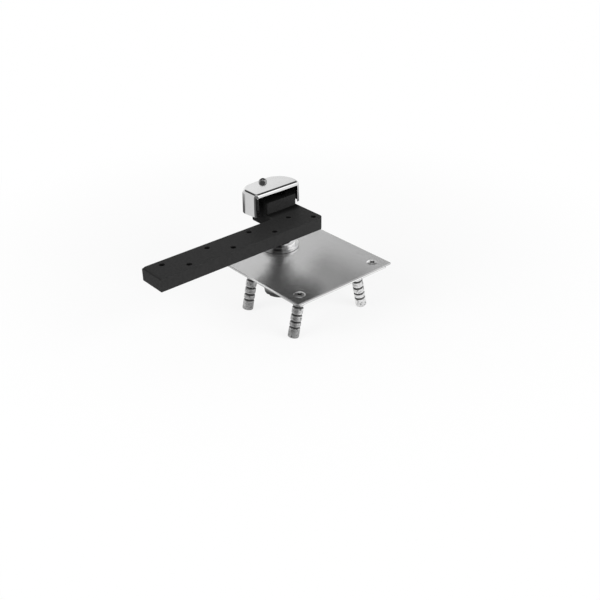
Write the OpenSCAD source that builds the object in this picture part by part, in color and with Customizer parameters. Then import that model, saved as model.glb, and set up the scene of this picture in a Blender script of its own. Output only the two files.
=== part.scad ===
// Floor-mounted offset pivot hinge. A long arm carries the bottom edge of a door
// and turns on a spindle that runs in a bearing housing set into the floor.
// Origin: pivot axis at the upper face of the floor plate. +Z up, +X towards the
// heel (hinge) edge of the closed door, +Y out of the face that the door opens towards.

/* [Floor plate] */
// Side of the square floor plate
plate_side = 120.65; // [105:0.05:150]
// Thickness of the brushed floor plate
plate_t = 1.6; // [1.2:0.1:3]
// Thickness of the steel base plate under it
base_t = 3; // [2.5:0.5:6]
// Distance from the floor plate's edge in to the base plate's edge
base_inset = 2; // [0.5:0.1:3]
// Corner radius of the base plate
base_corner_r = 5; // [3:0.5:10]
// Plate centre from the pivot axis, towards the heel edge
plate_shift_x = -3.7; // [-8:0.1:8]
// Width of the floor plate left behind the housing
plate_rim = 0.6; // [0.4:0.1:5]

/* [Plate screws] */
// Distance of each plate screw from both plate edges
screw_inset = 13; // [11:0.5:18]
// Diameter of the flat screw head
screw_head_d = 11.2; // [9:0.1:12]
// Diameter of the screw shank
screw_d = 5.5; // [4:0.1:6]
// Length of a plate screw under its flush face
screw_len = 4.4; // [4:0.1:4.5]
// Width of the cross recess
recess_w = 6.2; // [4:0.1:7]
// Depth of the cross recess
recess_depth = 1.8; // [1:0.1:2.2]

/* [Floor anchors] */
// Diameter of an anchor leg
anchor_d = 11; // [9:0.5:13]
// Distance of each anchor from both plate edges, at the base plate
anchor_inset = 24.9; // [21:0.1:26]
// Lean of each anchor away from the plate centre, degrees
anchor_lean = 12.4; // [6:0.1:15]
// Length of an anchor along its own axis
anchor_len = 49; // [46:0.1:60]
// Number of grooves on an anchor
groove_count = 5; // [3:1:5]
// Distance between the two lowest grooves
groove_pitch = 6; // [5:0.1:6.5]
// Growth of that distance from groove to groove towards the plate
groove_pitch_step = 1.1; // [0:0.1:1.2]
// Length of the plain foot under the lowest groove
anchor_foot = 11; // [8:0.5:13]
// Depth of a groove
groove_depth = 1.1; // [0.6:0.1:1.5]
// Width of a groove at the surface
groove_w = 2.2; // [1.6:0.1:2.8]

/* [Bearing housing] */
// Outer diameter of the housing under the plate
housing_d = 34; // [33:0.5:38]
// Depth of the housing below the floor plate's upper face
housing_depth = 49; // [48:0.5:54]
// Bore of the housing
housing_bore = 26; // [25:0.1:27]
// Bore of the ledge that parts the two bearings
ledge_bore = 21.6; // [20.5:0.1:22.5]
// Diameter of the flange that rests on the floor plate
flange_d = 40; // [38:0.5:44]
// Height of that flange
flange_h = 3; // [2:0.5:5]
// Diameter of the ring that closes the housing
ring_d = 34.4; // [32:0.2:37]
// Height of that ring above the flange
ring_h = 3.4; // [2:0.1:5]
// Diameter of the end plug's head
plug_d = 33; // [29:0.2:33.6]
// Height of the end plug's head
plug_h = 4.1; // [2.5:0.1:4.2]

/* [Spindle and bearings] */
// Diameter of the spindle's main journal
spindle_d = 19; // [18:0.1:20]
// Diameter of the threaded part of the spindle
thread_d = 16; // [15:0.5:17]
// Diameter of the stem held in the arm
stem_d = 14; // [12:0.5:14.5]
// Diameter of the tail below the thrust bearing
tail_d = 10; // [9:0.5:11]
// Radial running clearance of a plain bearing
run_clear = 0.03; // [0.02:0.01:0.08]
// Radial clearance between pieces that are fixed together
seat_clear = 0.02; // [0.01:0.01:0.05]
// Diameter of a bearing ball
ball_d = 4.8; // [4.4:0.1:5.2]
// Number of bearing balls
ball_count = 11; // [8:1:12]
// Diameter of the circle that the ball centres run on
ball_circle_d = 18.4; // [17.6:0.1:18.8]
// Clearance between the balls and their grooves
ball_clear = 0.04; // [0.02:0.01:0.08]
// Thickness of a bearing race
race_t = 4; // [3.5:0.1:5]

/* [Arm] */
// Height of the arm's underside above the floor plate
arm_clear = 33.8; // [28:0.1:45]
// Length of the arm
arm_len = 187.3; // [170:0.1:230]
// Width of the arm's bar
bar_w = 29.3; // [26:0.1:36]
// Thickness of the arm
arm_t = 12.4; // [10:0.1:16]
// Distance from the pivot axis to the arm's heel end
heel_reach = 12.7; // [12:0.1:15]
// Distance from the pivot axis to the face of the door
door_offset = 12.5; // [12:0.1:16]
// Distance from the door face to the back edge of the bar
bar_setback = 11.2; // [8:0.1:16]
// Radius of the arm's front heel corner
heel_corner_r = 5; // [2:0.5:8]
// Radius of the knuckle round the spindle
knuckle_r = 16.5; // [15:0.5:18]
// Height of the upright block above the arm
block_h = 11.8; // [9:0.1:14]
// Distance from the pivot axis to the lug's and the block's free side
block_reach = 26.2; // [24:0.1:28]
// Radius of the lug's back corner on the free side
lug_corner_r = 6; // [3:0.5:8]

/* [Door screw holes] */
// Diameter of the holes through the arm
door_hole_d = 5.6; // [4:0.1:7]
// Diameter of the countersinks under the arm
door_sink_d = 11.6; // [9:0.1:12.5]
// Holes in each of the two rows
door_hole_count = 4; // [2:1:4]
// Distance from the arm's heel end to the last hole of the front row
door_hole_heel = 7.1; // [6.5:0.1:14]
// Distance from the arm's free end to the first hole of the back row
door_hole_end = 16.3; // [12:0.1:18]
// Distance by which the front row is staggered
door_hole_stagger = 18.4; // [12:0.1:22]
// Distance from the bar's edges to the rows
door_hole_inset = 7; // [6.5:0.1:9]

/* [Cap] */
// Height of the cap's top above the arm
cap_rise = 21.8; // [19:0.1:26]
// Height of the cap's skirt at its free side
cap_free_h = 22.8; // [18:0.1:24]
// Height of the cap's skirt at its heel side
cap_heel_h = 21; // [17:0.1:22]
// Amount by which the skirt gets longer from the front to the back
cap_back_drop = 2.8; // [0:0.1:3]
// Wall of the cap
cap_wall = 1.2; // [0.8:0.1:1.6]
// Radius of the cap's round end about the pivot axis
cap_r = 21.4; // [20.5:0.1:24]
// Distance from the pivot axis to the cap's free side
cap_reach = 35.8; // [33:0.1:40]
// Radius of the cap's back corner
cap_corner_r = 14; // [10:0.5:16]
// Distance from the door face back to the cap's front
cap_setback = 2.4; // [0.5:0.1:4]
// Amount by which the cap widens towards its lower edge
cap_flare = 0.3; // [0.1:0.1:1]
// Radius of the edge round the cap's top
cap_edge_r = 3.2; // [2:0.1:3.2]
// Radius of the cap's two front corners
cap_front_r = 3.5; // [3.5:0.1:5]
// Height of the lip along the cap's front
lip_h = 3.8; // [3.5:0.1:6]
// Diameter of the cap screw's head
cap_screw_head_d = 8.2; // [7:0.1:10]
// Height of the cap screw's head
cap_screw_head_h = 4; // [2.5:0.1:4.5]
// Diameter of the cap screw's shank
cap_screw_d = 4; // [3.5:0.1:4.2]
// Distance from the pivot axis to the cap screw, towards the free side
cap_screw_x = 9; // [8:0.1:12]
// Distance from the pivot axis to the cap screw, away from the door
cap_screw_y = 12.5; // [12:0.1:13.5]

/* [Nuts and small parts] */
// Width across flats of the lift nut and the jam nut
nut_af = 24; // [22:0.5:26]
// Thickness of the lift nut
lift_nut_t = 7; // [6:0.5:8]
// Thickness of the jam nut
jam_nut_t = 5; // [4:0.5:6]
// Width across flats of the post that holds the cap screw
post_af = 5.8; // [5.6:0.1:6]
// Diameter of the set screw that locks the stem
set_screw_d = 6; // [4:0.5:6]
// Width of the retaining ring on the spindle
snap_w = 1.2; // [1:0.1:1.5]

/* [Hidden] */
$fn = 64;
eps = 0.01;       // overlap of cutting solids past the surface they cut
cut = 1;          // extra length of a cutting solid outside the part

// plates
plate_shift_y = housing_d / 2 + plate_rim - plate_side / 2;
base_z = -plate_t - base_t;
base_side = plate_side - 2 * base_inset;
edge_break = 0.8;
screw_offset = plate_side / 2 - screw_inset;
anchor_offset = plate_side / 2 - anchor_inset;
sink_half_angle = 41;  // half of the 82 degree countersink
screw_sink_h = (screw_head_d - screw_d) / 2 / tan(sink_half_angle);
sink_rim = 0.25;

// anchors
anchor_chamfer = 1;
groove_root_w = groove_w / 2;
tenon_d = 6;
tenon_h = base_t - 0.4;
tenon_clear = 0.15;

// housing stack, from the floor plate down
ring_z = flange_h + ring_h;
ring_skirt = 4;
ring_mouth_d = 25.2;
ring_shaft_gap = 0.5;
seal_groove_z = 1.2;
seal_wall = 1.3;
seal_z0 = -0.5;
seal_z1 = ring_z - 1.6;
plug_z0 = -housing_depth - plug_h;
plug_spigot = 7.6;
plug_chamfer = 1.2;
plug_top_z = -housing_depth + plug_spigot;
plug_pocket_r = 6.6;
lower_bush_len = 6;
drive_slot_w = 4;
drive_slot_depth = 1.6;
lower_race_z1 = plug_top_z + race_t;
groove_r = ball_d / 2 + ball_clear;
groove_cut = 1;    // depth of a ball groove in a race
ball_z = lower_race_z1 - groove_cut + groove_r;
upper_race_z0 = ball_z + groove_r - groove_cut;
upper_race_z1 = upper_race_z0 + race_t;
race_r = housing_bore / 2 - 0.5;
race_fit = 0.4;        // the fixed race is wider than the turning one by this
race_shaft_gap = 0.5;  // fixed race to the spindle's tail
cage_t = 1.8;
cage_r0 = tail_d / 2 + 1;
cage_r1 = race_r - 0.2;

// upper bush and ledge, which follow the thrust bearing
race_to_snap = 4.3;
snap_gap = 0.5;
ledge_h = 3;
snap_z0 = upper_race_z1 + race_to_snap;
snap_z1 = snap_z0 + snap_w;
ledge_z0 = snap_z1 + snap_gap;
upper_bush_z0 = ledge_z0 + ledge_h;
upper_bush_z1 = -ring_skirt + flange_h - 0.5;

// spindle levels
spindle_end_gap = 0.8;
tail_z0 = plug_top_z - lower_bush_len + spindle_end_gap;
snap_depth = 0.8;
snap_r1 = spindle_d / 2 + 0.7;
snap_slot = 3;
thread_z0 = arm_clear - lift_nut_t - jam_nut_t - 3;
stem_gap = 0.5;
stem_z1 = arm_clear + arm_t + block_h - stem_gap;
spindle_chamfer = 0.8;
stem_flat = 1.2;
nut_face_in = 0.2;     // nut's flat faces, in from its flats
nut_corner_h = 1;      // height of the chamfer at a nut's corners

// arm
arm_z1 = arm_clear + arm_t;
face_y = -door_offset;
bar_back = face_y - bar_setback;
bar_front = bar_back - bar_w;
bar_left = heel_reach - arm_len;
block_z1 = arm_z1 + block_h;
block_setback = 1;      // the block's heel side, back from the lug's
lug_corner_y = 6.9;   // from the axis back to the centre of the lug's round corner
lug_corner = [-block_reach + lug_corner_r, lug_corner_y];
end_bevel = [3.4, 1.1];
boss_r = 4.4;
row_y = [bar_back - door_hole_inset, bar_front + door_hole_inset];
door_hole_pitch = (arm_len - door_hole_end - door_hole_stagger - door_hole_heel) / (door_hole_count - 1);
set_screw_len = 6.5;
set_screw_gap = 0.05;  // set screw's point to the stem's flat
set_screw_socket = 2;  // depth of the set screw's hexagon socket
set_screw_z = arm_z1 + 0.4 * block_h;

// cap
cap_z1 = arm_z1 + cap_rise;
cap_front = face_y + cap_setback;
lip_z0 = cap_z1 - lip_h;
cap_arc_steps = 10;
cap_back_set = 1;        // the round corner's back, in from the round end's
cap_corner = [-cap_reach + cap_corner_r, cap_r - cap_corner_r - cap_back_set];
cap_heel_y = cap_front + cap_front_r;
cap_heel_x = sqrt(pow(cap_r - cap_front_r, 2) - pow(cap_heel_y, 2));
post_h = cap_z1 - cap_wall - block_z1;
post_stud_r = cap_screw_d / 2 - 0.2;
post_stud_h = 4.6;
post_hole_depth = 5;
cap_inner_r = 1.4;       // radius inside the cap's top edge
cap_screw_clear = 0.25;
cap_screw_reach = 5.5;
cap_screw_tip_gap = 0.4;
cap_screw_rim = 0.6;     // straight side of the cap screw's head under its dome
cap_screw_dome = cap_screw_head_h - cap_screw_rim;

// Points on an arc about c, from angle a0 to a1, in n steps
function arc(c, r, a0, a1, n) = [for (i = [0:n]) let (a = a0 + (a1 - a0) * i / n) c + r * [cos(a), sin(a)]];

// The four corners of the plate that carry a screw and an anchor, as signs
FRONT = [-1, -1];
RIGHT = [1, -1];
BACK = [1, 1];
LEFT = [-1, 1];

// Moves its children to a corner of a square pattern about the plate centre
module at_corner(side, offset) {
    translate([plate_shift_x + side.x * offset, plate_shift_y + side.y * offset, 0]) children();
}

module round_square(size, r) {
    inner = size / 2 - r;
    outline = concat(arc([inner, inner], r, 0, 90, 8), arc([-inner, inner], r, 90, 180, 8),
                     arc([-inner, -inner], r, 180, 270, 8), arc([inner, -inner], r, 270, 360, 8));
    polygon(outline);
}

module ring(r_out, r_in, z0, z1) {
    difference() {
        translate([0, 0, z0]) cylinder(r = r_out, h = z1 - z0);
        translate([0, 0, z0 - cut]) cylinder(r = r_in, h = z1 - z0 + 2 * cut);
    }
}

// Countersink that opens upwards at z = 0
module countersink(head_d, hole_d, clear) {
    h = (head_d - hole_d) / 2 / tan(sink_half_angle);
    translate([0, 0, -h]) cylinder(r1 = hole_d / 2 + clear, r2 = head_d / 2 + clear, h = h);
    translate([0, 0, -eps]) cylinder(r = head_d / 2 + clear, h = cut);
}

module plate_screw_holes() {
    for (side = [FRONT, RIGHT, BACK, LEFT]) at_corner(side, screw_offset) {
        translate([0, 0, -sink_rim]) countersink(screw_head_d, screw_d, seat_clear);
        translate([0, 0, base_z - cut]) cylinder(r = screw_d / 2 + seat_clear, h = plate_t + base_t);
    }
}

module floor_plate() color([0.74, 0.74, 0.75]) difference() {
    translate([plate_shift_x, plate_shift_y, -plate_t])
        linear_extrude(plate_t) round_square(plate_side, edge_break);
    plate_screw_holes();
    translate([0, 0, -plate_t - cut]) cylinder(r = housing_d / 2 + seat_clear, h = plate_t + 2 * cut);
}

module base_plate() color([0.8, 0.8, 0.8]) difference() {
    translate([plate_shift_x, plate_shift_y, base_z])
        linear_extrude(base_t) round_square(base_side, base_corner_r);
    plate_screw_holes();
    translate([0, 0, base_z - cut]) cylinder(r = housing_d / 2 + seat_clear, h = base_t + 2 * cut);
    for (side = [FRONT, RIGHT, BACK, LEFT]) at_corner(side, anchor_offset)
        translate([0, 0, base_z - cut]) cylinder(r = tenon_d / 2 + tenon_clear, h = base_t + 2 * cut);
}

// Flat-head screw, flush with the plate, with a cross recess
module plate_screw(side) color([0.85, 0.85, 0.85]) at_corner(side, screw_offset) difference() {
    union() {
        translate([0, 0, -sink_rim]) cylinder(r = screw_head_d / 2, h = sink_rim);
        translate([0, 0, -sink_rim - screw_sink_h])
            cylinder(r1 = screw_d / 2, r2 = screw_head_d / 2, h = screw_sink_h);
        translate([0, 0, -screw_len])
            cylinder(r = screw_d / 2, h = screw_len - sink_rim - screw_sink_h + eps);
    }
    cross_recess(recess_w, recess_depth);
}

// Cross recess that opens upwards at z = 0
module cross_recess(width, depth) {
    slot = width / 4;
    for (turn = [0, 90]) rotate(turn)
        translate([-width / 2, -slot / 2, -depth]) cube([width, slot, depth + cut]);
}

// Grooved anchor leg: outline of half its section, foot at the lowest point
module anchor_outline() {
    r = anchor_d / 2;
    grooves = [for (i = [0:groove_count - 1])
        let (z = anchor_foot + i * groove_pitch + i * (i - 1) / 2 * groove_pitch_step) each
            [[r, z - groove_w / 2], [r - groove_depth, z - groove_root_w / 2],
             [r - groove_depth, z + groove_root_w / 2], [r, z + groove_w / 2]]];
    polygon(concat([[0, 0], [r - anchor_chamfer, 0], [r, anchor_chamfer]], grooves,
                   [[r, anchor_len + anchor_d / 2], [0, anchor_len + anchor_d / 2]]));
}

module anchor(side) color([0.62, 0.62, 0.62]) at_corner(side, anchor_offset) {
    difference() {
        translate([0, 0, base_z]) rotate([0, -side.x * anchor_lean, 0])
            translate([0, 0, -anchor_len]) rotate_extrude() anchor_outline();
        translate([-anchor_d, -anchor_d, base_z]) cube(2 * anchor_d);
    }
    translate([0, 0, base_z - anchor_d / 4]) cylinder(r = tenon_d / 2, h = tenon_h + anchor_d / 4);
}

// Turned housing: flange on the floor plate, two bores parted by a ledge
module bearing_housing() color([0.7, 0.7, 0.71]) difference() {
    union() {
        cylinder(r = flange_d / 2, h = flange_h);
        translate([0, 0, -housing_depth]) cylinder(r = housing_d / 2, h = housing_depth + eps);
    }
    translate([0, 0, upper_bush_z0]) cylinder(r = housing_bore / 2, h = flange_h - upper_bush_z0 + cut);
    translate([0, 0, ledge_z0 - cut]) cylinder(r = ledge_bore / 2, h = ledge_h + 2 * cut);
    translate([0, 0, -housing_depth - cut])
        cylinder(r = housing_bore / 2, h = ledge_z0 + housing_depth + cut);
}

// Ring that closes the housing and holds the dust seal
module cover_ring() color([0.82, 0.82, 0.83]) difference() {
    rotate_extrude() polygon([
        [0, flange_h - ring_skirt], [housing_bore / 2 - seat_clear, flange_h - ring_skirt],
        [housing_bore / 2 - seat_clear, flange_h], [ring_d / 2, flange_h],
        [ring_d / 2, ring_z - edge_break], [ring_d / 2 - edge_break, ring_z], [0, ring_z]]);
    translate([0, 0, seal_z0]) cylinder(r = housing_bore / 2 - seal_wall, h = ring_z - seal_z0 + cut);
    translate([0, 0, -ring_skirt]) cylinder(r = spindle_d / 2 + ring_shaft_gap, h = 2 * ring_skirt);
    translate([0, 0, ring_z - seal_groove_z])
        cylinder(r1 = housing_bore / 2 - seal_wall, r2 = ring_mouth_d / 2, h = seal_groove_z + eps);
}

module dust_seal() color([0.06, 0.06, 0.06])
    ring(housing_bore / 2 - seal_wall - seat_clear, spindle_d / 2 + run_clear + seat_clear, seal_z0, seal_z1);

module upper_bush() color([0.72, 0.56, 0.3])
    ring(housing_bore / 2 - seat_clear, spindle_d / 2 + run_clear, upper_bush_z0, upper_bush_z1);

module lower_bush() color([0.72, 0.56, 0.3])
    ring(plug_pocket_r - seat_clear, tail_d / 2 + run_clear, plug_top_z - lower_bush_len, plug_top_z);

// Plug that closes the housing from below, with a slot for the driver
module end_plug() color([0.66, 0.66, 0.66]) difference() {
    rotate_extrude() polygon([
        [0, plug_z0], [plug_d / 2 - plug_chamfer, plug_z0], [plug_d / 2, plug_z0 + plug_chamfer],
        [plug_d / 2, -housing_depth], [housing_bore / 2 - seat_clear, -housing_depth],
        [housing_bore / 2 - seat_clear, plug_top_z], [0, plug_top_z]]);
    translate([0, 0, plug_top_z - lower_bush_len]) cylinder(r = plug_pocket_r, h = lower_bush_len + cut);
    translate([-plug_d / 2, -drive_slot_w / 2, plug_z0 - cut])
        cube([plug_d, drive_slot_w, drive_slot_depth + cut]);
}

module ball_track() rotate_extrude() translate([ball_circle_d / 2, ball_z]) circle(r = groove_r);

module lower_race() color([0.6, 0.6, 0.62]) difference() {
    ring(race_r + race_fit, tail_d / 2 + race_shaft_gap, plug_top_z, lower_race_z1);
    ball_track();
}

module upper_race() color([0.6, 0.6, 0.62]) difference() {
    ring(race_r, tail_d / 2 + seat_clear, upper_race_z0, upper_race_z1);
    ball_track();
}

module at_balls() {
    for (i = [0:ball_count - 1]) rotate(360 * i / ball_count)
        translate([ball_circle_d / 2, 0, ball_z]) children();
}

module balls() color([0.85, 0.85, 0.87]) at_balls() sphere(r = ball_d / 2);

module ball_cage() color([0.72, 0.56, 0.3]) difference() {
    ring(cage_r1, cage_r0, ball_z - cage_t / 2, ball_z + cage_t / 2);
    at_balls() translate([0, 0, -cage_t]) cylinder(r = ball_d / 2 + ball_clear, h = 2 * cage_t);
}

module snap_ring() color([0.2, 0.2, 0.2]) difference() {
    ring(snap_r1, spindle_d / 2 - snap_depth + seat_clear, snap_z0, snap_z1);
    translate([0, -snap_slot / 2, snap_z0 - cut]) cube([spindle_d, snap_slot, snap_w + 2 * cut]);
}

// Turned spindle: tail, main journal with ring groove, thread, and stem with a flat
module spindle() color([0.75, 0.75, 0.76]) difference() {
    rotate_extrude() polygon([
        [0, tail_z0], [tail_d / 2 - spindle_chamfer, tail_z0], [tail_d / 2, tail_z0 + spindle_chamfer],
        [tail_d / 2, upper_race_z1], [spindle_d / 2, upper_race_z1],
        [spindle_d / 2, snap_z0], [spindle_d / 2 - snap_depth, snap_z0],
        [spindle_d / 2 - snap_depth, snap_z1], [spindle_d / 2, snap_z1],
        [spindle_d / 2, thread_z0 - spindle_chamfer], [spindle_d / 2 - spindle_chamfer, thread_z0],
        [thread_d / 2, thread_z0], [thread_d / 2, arm_clear], [stem_d / 2, arm_clear],
        [stem_d / 2, stem_z1 - spindle_chamfer], [stem_d / 2 - spindle_chamfer, stem_z1], [0, stem_z1]]);
    translate([-stem_d, stem_d / 2 - stem_flat, arm_z1]) cube([2 * stem_d, stem_d, block_h]);
}

module hex_nut(af, z0, t) difference() {
    intersection() {
        translate([0, 0, z0]) cylinder(r = af / 2 / cos(30), h = t, $fn = 6);
        rotate_extrude() polygon([
            [0, z0], [af / 2 - nut_face_in, z0], [af / 2 / cos(30) + eps, z0 + nut_corner_h],
            [af / 2 / cos(30) + eps, z0 + t - nut_corner_h], [af / 2 - nut_face_in, z0 + t], [0, z0 + t]]);
    }
    translate([0, 0, z0 - cut]) cylinder(r = thread_d / 2 + seat_clear, h = t + 2 * cut);
}

module lift_nut() color([0.6, 0.6, 0.6]) hex_nut(nut_af, arm_clear - lift_nut_t, lift_nut_t);

module jam_nut() color([0.6, 0.6, 0.6]) hex_nut(nut_af, arm_clear - lift_nut_t - jam_nut_t, jam_nut_t);

// Plan of the bar: square free end, rounded front heel corner
module bar_plan() {
    polygon(concat([[heel_reach, bar_back + eps], [bar_left, bar_back + eps], [bar_left, bar_front]],
                   arc([heel_reach - heel_corner_r, bar_front + heel_corner_r], heel_corner_r, 270, 360, 8)));
}

// Plan of the lug from y0 back to the knuckle, with its heel side at x1
module lug_plan(y0, x1) {
    tangent = atan2(lug_corner.y, lug_corner.x) - acos((knuckle_r - lug_corner_r) / norm(lug_corner));
    polygon(concat([[-block_reach, y0], [x1, y0]],
                   arc([0, 0], knuckle_r, -acos(x1 / knuckle_r), tangent, 24),
                   arc(lug_corner, lug_corner_r, tangent, 180, 8)));
    translate([-cap_screw_x, cap_screw_y]) circle(r = boss_r);
}

module arm() color([0.13, 0.13, 0.14]) difference() {
    union() {
        translate([0, 0, arm_clear]) linear_extrude(arm_t) bar_plan();
        translate([0, 0, arm_clear]) linear_extrude(arm_t) lug_plan(bar_back, heel_reach);
        translate([0, 0, arm_z1 - eps])
            linear_extrude(block_h + eps) lug_plan(face_y, heel_reach - block_setback);
    }
    translate([0, 0, arm_clear - cut]) cylinder(r = stem_d / 2 + seat_clear, h = arm_t + block_h + 2 * cut);
    door_holes();
    translate([bar_left, 0, arm_z1]) rotate([90, 0, 0]) translate([0, 0, -cut])
        linear_extrude(-bar_front + 2 * cut)
            polygon([[-cut, cut], [-cut, -end_bevel.y], [0, -end_bevel.y], [end_bevel.x, 0],
                     [end_bevel.x, cut]]);
    set_screw_bore(seat_clear);
    translate([-cap_screw_x, cap_screw_y, block_z1 - post_hole_depth])
        cylinder(r = post_stud_r + seat_clear, h = post_hole_depth + cut);
}

module door_holes() {
    for (row = [0, 1]) for (i = [0:door_hole_count - 1])
        translate([bar_left + door_hole_end + row * door_hole_stagger + i * door_hole_pitch, row_y[row], 0]) {
            translate([0, 0, arm_clear - cut]) cylinder(r = door_hole_d / 2, h = arm_t + 2 * cut);
            translate([0, 0, arm_clear]) mirror([0, 0, 1]) countersink(door_sink_d, door_hole_d, 0);
        }
}

module set_screw_bore(clear) {
    translate([0, stem_d / 2 - stem_flat, set_screw_z]) rotate([-90, 0, 0])
        cylinder(r = set_screw_d / 2 + clear, h = knuckle_r);
}

// Set screw with a hexagon socket, tightened on the stem's flat from behind
module set_screw() color([0.1, 0.1, 0.1]) difference() {
    translate([0, stem_d / 2 - stem_flat + set_screw_gap, set_screw_z]) rotate([-90, 0, 0])
        cylinder(r = set_screw_d / 2, h = set_screw_len);
    translate([0, stem_d / 2 - stem_flat + set_screw_len - set_screw_socket, set_screw_z])
        rotate([-90, 0, 0]) cylinder(r = set_screw_d / 4, h = set_screw_socket + cut, $fn = 6);
}

module cap_post() color([0.3, 0.3, 0.3]) difference() {
    union() {
        translate([-cap_screw_x, cap_screw_y, block_z1])
            cylinder(r = post_af / 2 / cos(30), h = post_h, $fn = 6);
        translate([-cap_screw_x, cap_screw_y, block_z1 - post_stud_h])
            cylinder(r = post_stud_r, h = post_hole_depth);
    }
    translate([-cap_screw_x, cap_screw_y, cap_z1 - cap_wall - cap_screw_reach])
        cylinder(r = cap_screw_d / 2 + seat_clear, h = cap_screw_reach + cut);
}

// Centres of the small circles whose hull is the cap's plan
function cap_points() = concat(
    [[-cap_reach + cap_front_r, cap_heel_y]],
    arc([0, 0], cap_r - cap_front_r, atan2(cap_heel_y, cap_heel_x), 90, cap_arc_steps),
    arc(cap_corner, cap_corner_r - cap_front_r, 90, 180, cap_arc_steps));

// Height of the cap's lower edge: it rises towards the heel side and falls towards the back
function cap_low(p) =
    cap_z1 - cap_free_h + (cap_free_h - cap_heel_h) * (p.x + cap_reach) / (cap_reach + cap_r)
    - cap_back_drop * (p.y - cap_front) / (cap_r - cap_front);

// Solid in the cap's outer form, shrunk by a wall, with its top edge rounded by edge_r
module cap_form(shrink, edge_r) {
    rounding = [for (a = [0:18:90]) [cap_z1 - shrink - edge_r + edge_r * sin(a), edge_r * (1 - cos(a))]];
    hull() for (p = cap_points()) translate([p.x, p.y, -eps]) {
        translate([0, 0, cap_low(p) - (shrink > 0 ? cut : 0)])
            cylinder(r = cap_front_r + cap_flare - shrink, h = eps, $fn = 24);
        for (level = rounding) translate([0, 0, level[0]])
            cylinder(r = cap_front_r - shrink - level[1], h = eps, $fn = 24);
    }
}

module cap() color([0.85, 0.85, 0.87]) difference() {
    cap_form(0, cap_edge_r);
    cap_form(cap_wall, cap_inner_r);
    translate([-cap_reach + cap_front_r, cap_front - 3 * cut, lip_z0 - cap_free_h])
        cube([cap_reach - cap_front_r + cap_heel_x, 6 * cut, cap_free_h]);
    translate([-cap_screw_x, cap_screw_y, cap_z1 - cap_wall - cut])
        cylinder(r = cap_screw_d / 2 + cap_screw_clear, h = cap_wall + 2 * cut);
}

// Domed screw with a cross recess
module cap_screw() color([0.5, 0.5, 0.52]) translate([-cap_screw_x, cap_screw_y, cap_z1]) difference() {
    union() {
        rotate_extrude() polygon(concat([[0, 0], [cap_screw_head_d / 2, 0]],
            [for (a = [0:15:90]) [cap_screw_head_d / 2 * cos(a), cap_screw_rim + cap_screw_dome * sin(a)]]));
        translate([0, 0, -cap_wall - cap_screw_reach + cap_screw_tip_gap])
            cylinder(r = cap_screw_d / 2, h = cap_wall + cap_screw_reach);
    }
    translate([0, 0, cap_screw_head_h]) cross_recess(0.6 * cap_screw_head_d, 0.5 * cap_screw_head_h);
}

floor_plate();
base_plate();
plate_screw(FRONT);  // screw_front
plate_screw(RIGHT);  // screw_right
plate_screw(BACK);  // screw_back
plate_screw(LEFT);  // screw_left
anchor(FRONT);  // anchor_front
anchor(RIGHT);  // anchor_right
anchor(BACK);  // anchor_back
anchor(LEFT);  // anchor_left
bearing_housing();
cover_ring();
dust_seal();
upper_bush();
lower_bush();
end_plug();
lower_race();
ball_cage();
balls();
upper_race();
snap_ring();
spindle();
jam_nut();
lift_nut();
arm();
set_screw();
cap_post();
cap();
cap_screw();
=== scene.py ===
import math

import bmesh
import bpy
from mathutils import Matrix, Vector, noise


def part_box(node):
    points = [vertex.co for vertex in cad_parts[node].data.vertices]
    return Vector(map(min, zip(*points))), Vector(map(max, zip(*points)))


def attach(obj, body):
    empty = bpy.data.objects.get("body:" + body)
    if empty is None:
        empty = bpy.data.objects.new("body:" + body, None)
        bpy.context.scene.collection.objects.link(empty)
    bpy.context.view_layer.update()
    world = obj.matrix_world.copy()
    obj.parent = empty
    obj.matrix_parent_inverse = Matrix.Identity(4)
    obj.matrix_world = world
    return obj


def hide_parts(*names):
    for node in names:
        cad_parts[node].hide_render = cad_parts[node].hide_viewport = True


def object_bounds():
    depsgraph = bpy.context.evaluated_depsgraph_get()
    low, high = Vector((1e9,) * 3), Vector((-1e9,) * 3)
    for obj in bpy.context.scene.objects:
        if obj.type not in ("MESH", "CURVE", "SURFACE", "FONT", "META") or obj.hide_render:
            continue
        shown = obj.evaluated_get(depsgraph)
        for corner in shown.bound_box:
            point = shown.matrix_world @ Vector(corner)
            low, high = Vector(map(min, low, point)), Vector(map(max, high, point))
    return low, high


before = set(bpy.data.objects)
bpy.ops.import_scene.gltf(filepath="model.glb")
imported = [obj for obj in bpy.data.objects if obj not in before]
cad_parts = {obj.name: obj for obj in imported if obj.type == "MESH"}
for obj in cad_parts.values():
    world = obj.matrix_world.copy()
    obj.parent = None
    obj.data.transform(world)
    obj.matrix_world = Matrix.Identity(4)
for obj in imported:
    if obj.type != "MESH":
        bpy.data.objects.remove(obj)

cad_low, cad_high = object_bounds()
scene = bpy.context.scene
MM = 0.001


# ---------------------------------------------------------------- shader sheet

class Wire:
    """One socket of a shader sheet. Arithmetic on wires adds Math nodes."""

    def __init__(self, sheet, socket):
        self.sheet = sheet
        self.socket = socket

    def __add__(self, other):
        return self.sheet.sum_of("ADD", self, other)

    def __sub__(self, other):
        return self.sheet.sum_of("SUBTRACT", self, other)

    def __rsub__(self, other):
        return self.sheet.sum_of("SUBTRACT", other, self)

    def __mul__(self, other):
        return self.sheet.sum_of("MULTIPLY", self, other)

    def __pow__(self, other):
        return self.sheet.sum_of("POWER", self, other)

    __radd__ = __add__
    __rmul__ = __mul__


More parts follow.
